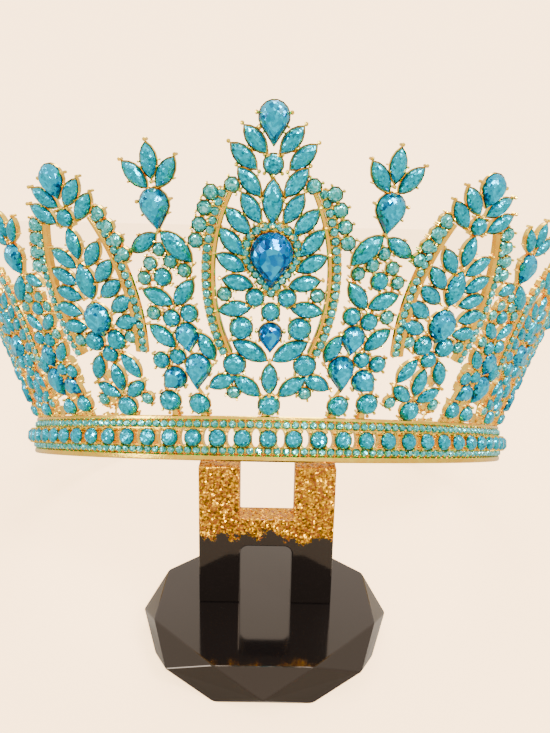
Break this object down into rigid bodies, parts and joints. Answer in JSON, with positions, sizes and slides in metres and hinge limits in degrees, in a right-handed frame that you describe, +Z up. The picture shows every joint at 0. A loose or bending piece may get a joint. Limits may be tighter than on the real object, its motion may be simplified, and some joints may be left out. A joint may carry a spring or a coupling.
{
  "type": "pageant crown on stand",
  "caption": "Round pageant crown of stone-set fleur and arch panels on a pierced band, tilted on a small two-pronged display stand.",
  "frame": {"origin": "centre of the whole part's footprint on the surface that it stands on", "axes": "+Z up, -Y towards the crown's front, +X to the right as the front is seen"},
  "size_m": [0.1878, 0.1612, 0.1276],
  "materials": {
    "gold_metal": "polished gold-tone plating, cast",
    "aqua_stone": "foiled, faceted, glossy",
    "deep_blue_stone": "foiled, faceted, glossy",
    "pale_stone": "foiled, faceted, glossy",
    "black_resin": "glossy cast resin",
    "glitter_resin": "glossy cast resin with gold flakes"
  },
  "bodies": {
    "root": {"band": "gold_metal", "centre_panel": "gold_metal", "centre_pears": "deep_blue_stone", "centre_marquises": "aqua_stone", "centre_rounds": "aqua_stone", "fleur_1_left": "gold_metal", "fleur_1_right": "gold_metal", "fleur_2_left": "gold_metal", "fleur_2_right": "gold_metal", "fleur_3_left": "gold_metal", "fleur_3_right": "gold_metal", "arch_1_left": "gold_metal", "arch_1_right": "gold_metal", "arch_2_left": "gold_metal", "arch_2_right": "gold_metal", "rear_1_left": "gold_metal", "rear_1_right": "gold_metal", "rear_2_left": "gold_metal", "rear_2_right": "gold_metal", "rear_3_left": "gold_metal", "rear_3_right": "gold_metal", "rear_4_left": "gold_metal", "rear_4_right": "gold_metal", "fleur_1_left_stones": "aqua_stone", "fleur_1_right_stones": "aqua_stone", "fleur_2_left_stones": "aqua_stone", "fleur_2_right_stones": "aqua_stone", "fleur_3_left_stones": "aqua_stone", "fleur_3_right_stones": "aqua_stone", "arch_1_left_stones": "aqua_stone", "arch_1_right_stones": "aqua_stone", "arch_2_left_stones": "aqua_stone", "arch_2_right_stones": "aqua_stone", "rear_left_stones": "aqua_stone", "rear_right_stones": "aqua_stone", "stand_base": "black_resin", "stand_plate": "glitter_resin"}
  },
  "joints": []
}
